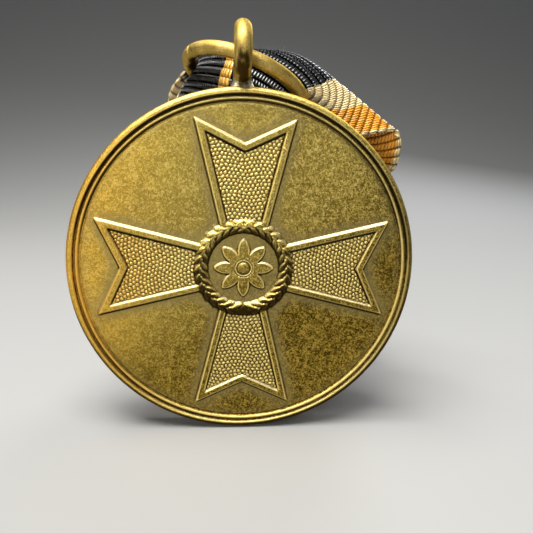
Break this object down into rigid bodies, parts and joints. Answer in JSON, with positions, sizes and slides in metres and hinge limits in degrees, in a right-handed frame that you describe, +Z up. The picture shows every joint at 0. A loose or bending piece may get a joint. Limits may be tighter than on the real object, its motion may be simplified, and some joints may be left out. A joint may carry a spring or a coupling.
{
  "type": "service medal",
  "caption": "Round struck bronze medal with a raised cross and wreath, a brazed eyelet, a swinging wire ring and a folded striped ribbon threaded through it.",
  "frame": {"origin": "lowest point of the rim, at the middle of the disc's thickness", "axes": "+X to the right of a viewer facing the obverse, -Y the way the obverse faces, +Z up through the eyelet"},
  "size_m": [0.0334, 0.0171, 0.0381],
  "materials": {
    "patinated_bronze": "struck, satin, patinated",
    "wire_bronze": "drawn wire, worn satin",
    "braze": "cast fillet, dull",
    "ribbon_cloth": "ribbed grosgrain with stripes"
  },
  "bodies": {
    "medal": {"struck_disc": "patinated_bronze", "eyelet_loop": "wire_bronze", "eyelet_braze": "braze"},
    "ribbon": {"ribbon_over_ring": "ribbon_cloth"},
    "ring": {"suspension_ring": "wire_bronze"},
    "front_tail": {"ribbon_front_tail": "ribbon_cloth"},
    "rear_tail": {"ribbon_rear_tail": "ribbon_cloth"}
  },
  "joints": [
    {"name": "ring_swing", "type": "hinge", "parent": "medal", "child": "ribbon", "pos_m": [0, 0.00028, 0.0352], "axis": [1, 0, 0], "range_deg": [0, 106]},
    {"name": "ring_turn", "type": "hinge", "parent": "ribbon", "child": "ring", "pos_m": [0.00018, 0.00593, 0.03353], "axis": [0.3349, 0.2559, 0.9068], "continuous": true},
    {"name": "front_tail_lift", "type": "hinge", "parent": "ribbon", "child": "front_tail", "pos_m": [0, 0.0029, 0.0187], "axis": [1, 0, 0], "range_deg": [0, 25]},
    {"name": "rear_tail_lift", "type": "hinge", "parent": "ribbon", "child": "rear_tail", "pos_m": [0.0018, 0.0122, 0.0195], "axis": [1, 0, 0], "range_deg": [-8, 45]}
  ]
}
